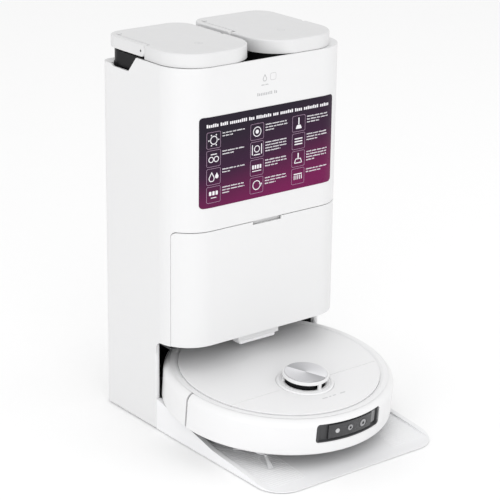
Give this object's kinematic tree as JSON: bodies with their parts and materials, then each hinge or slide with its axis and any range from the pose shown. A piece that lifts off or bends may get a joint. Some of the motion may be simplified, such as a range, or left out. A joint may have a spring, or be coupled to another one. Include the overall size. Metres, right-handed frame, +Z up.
{
  "type": "robot vacuum",
  "caption": "Round robot vacuum and mop with a lidar turret, docked nose-out on the ramp of its tall self-cleaning station with lift-out water tanks and a dust-bag door.",
  "frame": {"origin": "on the floor, under the middle of the docked set", "axes": "+Z up; the front of the station and of the robot faces -Y; +X is to the right of a person who faces the front"},
  "size_m": [0.35, 0.43, 0.589],
  "materials": {
    "white_shell": "satin white moulded plastic",
    "white_matte": "fine-grained white moulded plastic",
    "black_tank": "smoked, nearly black plastic",
    "dark_plastic": "dark grey textured plastic",
    "grey_plastic": "mid grey plastic",
    "label_print": "printed film, black fading to plum",
    "smoked_window": "gloss smoked window",
    "brushed_disc": "circular brushed aluminium",
    "steel": "plain steel",
    "contact_metal": "plated contact strip",
    "rubber_black": "soft black rubber",
    "tyre_black": "moulded tread rubber",
    "bag_paper": "fleece paper",
    "mop_fabric": "looped microfibre",
    "bristle_white": "nylon bristles",
    "board_green": "circuit board"
  },
  "bodies": {
    "station": {"station_housing": "white_shell", "rear_cover": "white_matte", "base_tray": "white_matte", "wash_tray": "grey_plastic", "dock_liner": "dark_plastic", "tank_deck": "dark_plastic", "bay_frame": "grey_plastic", "dust_bag": "bag_paper", "bag_holder": "grey_plastic", "suction_motor": "dark_plastic", "dust_duct": "dark_plastic", "clean_pump": "dark_plastic", "dirty_pump": "dark_plastic", "water_hoses": "rubber_black", "power_supply": "dark_plastic", "mains_inlet": "dark_plastic", "beacon_housing": "white_shell", "beacon_lens": "smoked_window", "charging_contacts": "contact_metal", "rubber_feet": "rubber_black", "station_screws": "steel", "feature_label": "label_print", "door_pins": "steel"},
    "dust_door": {"dust_door": "white_shell"},
    "clean_tank": {"clean_tank": "black_tank"},
    "dirty_tank": {"dirty_tank": "black_tank"},
    "clean_lid": {"clean_tank_lid": "white_matte"},
    "dirty_lid": {"dirty_tank_lid": "white_matte"},
    "clean_handle": {"clean_tank_handle": "white_matte"},
    "dirty_handle": {"dirty_tank_handle": "white_matte"},
    "robot": {"robot_chassis": "dark_plastic", "robot_shell": "white_shell", "front_panel": "white_shell", "robot_deck": "white_matte", "turret_base": "white_shell", "turret_cap": "white_shell", "turret_disc": "brushed_disc", "robot_dustbin": "grey_plastic", "robot_battery": "dark_plastic", "robot_fan": "dark_plastic", "robot_board": "board_green", "robot_contacts": "contact_metal", "brush_guard": "dark_plastic"},
    "lidar": {"lidar_spinner": "dark_plastic"},
    "top_cover": {"top_cover": "white_shell"},
    "bumper": {"bumper": "white_shell", "sensor_window": "smoked_window", "sensor_module": "dark_plastic"},
    "left_arm": {"left_wheel_arm": "dark_plastic"},
    "right_arm": {"right_wheel_arm": "dark_plastic"},
    "left_wheel": {"left_drive_wheel": "tyre_black"},
    "right_wheel": {"right_drive_wheel": "tyre_black"},
    "caster_fork": {"caster_fork": "dark_plastic"},
    "caster_wheel": {"caster_wheel": "tyre_black"},
    "main_brush": {"main_brush": "rubber_black"},
    "side_brush": {"side_brush": "bristle_white"},
    "left_mop": {"left_mop": "mop_fabric"},
    "right_mop": {"right_mop": "mop_fabric"},
    "power_button": {"power_button": "grey_plastic"},
    "home_button": {"home_button": "grey_plastic"}
  },
  "joints": [
    {"name": "dust_door_hinge", "type": "hinge", "parent": "station", "child": "dust_door", "pos_m": [0, 0.02, 0.148], "axis": [1, 0, 0], "range_deg": [0, 75]},
    {"name": "clean_tank_lift", "type": "slide", "parent": "station", "child": "clean_tank", "axis": [0, 0, 1], "range_m": [0, 0.26]},
    {"name": "clean_lid_lift", "type": "slide", "parent": "clean_tank", "child": "clean_lid", "axis": [0, 0, 1], "range_m": [0, 0.04]},
    {"name": "clean_handle_hinge", "type": "hinge", "parent": "clean_tank", "child": "clean_handle", "pos_m": [0.07175, 0.116, 0.57955], "axis": [1, 0, 0], "range_deg": [0, 90]},
    {"name": "dirty_tank_lift", "type": "slide", "parent": "station", "child": "dirty_tank", "axis": [0, 0, 1], "range_m": [0, 0.26]},
    {"name": "dirty_lid_lift", "type": "slide", "parent": "dirty_tank", "child": "dirty_lid", "axis": [0, 0, 1], "range_m": [0, 0.04]},
    {"name": "dirty_handle_hinge", "type": "hinge", "parent": "dirty_tank", "child": "dirty_handle", "pos_m": [-0.08375, 0.116, 0.57955], "axis": [1, 0, 0], "range_deg": [0, 90]},
    {"name": "robot_drive_out", "type": "hinge", "parent": "station", "child": "robot", "pos_m": [0, -0.43615, 4.38215], "axis": [-1, 0, 0], "range_deg": [0, 5.5]},
    {"name": "lidar_spin", "type": "hinge", "parent": "robot", "child": "lidar", "pos_m": [0, -0.08318, 0.09409], "axis": [0, -0.0958, 0.9954], "continuous": true},
    {"name": "top_cover_lift", "type": "slide", "parent": "robot", "child": "top_cover", "axis": [0, -0.0958, 0.9954], "range_m": [0, 0.014]},
    {"name": "bumper_press", "type": "slide", "parent": "robot", "child": "bumper", "axis": [0, 0.9954, 0.0958], "range_m": [0, 0.003], "stiffness_N_per_m": 600, "springref_m": -0.002},
    {"name": "left_suspension", "type": "hinge", "parent": "robot", "child": "left_arm", "pos_m": [-0.086, 0.02815, 0.06463], "axis": [-1, 0, 0], "range_deg": [0, 10], "stiffness_Nm_per_rad": 2, "springref_deg": -17.19},
    {"name": "left_wheel_spin", "type": "hinge", "parent": "left_arm", "child": "left_wheel", "pos_m": [-0.112, -0.01699, 0.05355], "axis": [1, 0, 0], "continuous": true},
    {"name": "right_suspension", "type": "hinge", "parent": "robot", "child": "right_arm", "pos_m": [0.086, 0.02815, 0.06463], "axis": [-1, 0, 0], "range_deg": [0, 10], "stiffness_Nm_per_rad": 2, "springref_deg": -17.19},
    {"name": "right_wheel_spin", "type": "hinge", "parent": "right_arm", "child": "right_wheel", "pos_m": [0.112, -0.01699, 0.05355], "axis": [1, 0, 0], "continuous": true},
    {"name": "caster_swivel", "type": "hinge", "parent": "robot", "child": "caster_fork", "pos_m": [0, -0.13838, 0.02046], "axis": [0, -0.0958, 0.9954], "continuous": true},
    {"name": "caster_roll", "type": "hinge", "parent": "caster_fork", "child": "caster_wheel", "pos_m": [0, -0.13836, 0.02026], "axis": [1, 0, 0], "continuous": true},
    {"name": "main_brush_spin", "type": "hinge", "parent": "robot", "child": "main_brush", "pos_m": [0, -0.07122, 0.03245], "axis": [1, 0, 0], "continuous": true},
    {"name": "side_brush_spin", "type": "hinge", "parent": "robot", "child": "side_brush", "pos_m": [-0.101, -0.11013, 0.01916], "axis": [0, -0.0958, 0.9954], "continuous": true},
    {"name": "left_mop_spin", "type": "hinge", "parent": "robot", "child": "left_mop", "pos_m": [-0.063, 0.09294, 0.03871], "axis": [0, -0.0958, 0.9954], "continuous": true},
    {"name": "right_mop_spin", "type": "hinge", "parent": "robot", "child": "right_mop", "pos_m": [0.063, 0.09294, 0.03871], "axis": [0, -0.0958, 0.9954], "continuous": true},
    {"name": "power_button_press", "type": "slide", "parent": "robot", "child": "power_button", "axis": [0, 0.0958, -0.9954], "range_m": [0, 0.001], "stiffness_N_per_m": 300, "springref_m": -0.001},
    {"name": "home_button_press", "type": "slide", "parent": "robot", "child": "home_button", "axis": [0, 0.0958, -0.9954], "range_m": [0, 0.001], "stiffness_N_per_m": 300, "springref_m": -0.001}
  ],
  "couplings": [
    {"joint": "right_mop_spin", "follows": "left_mop_spin", "ratio": -1}
  ]
}
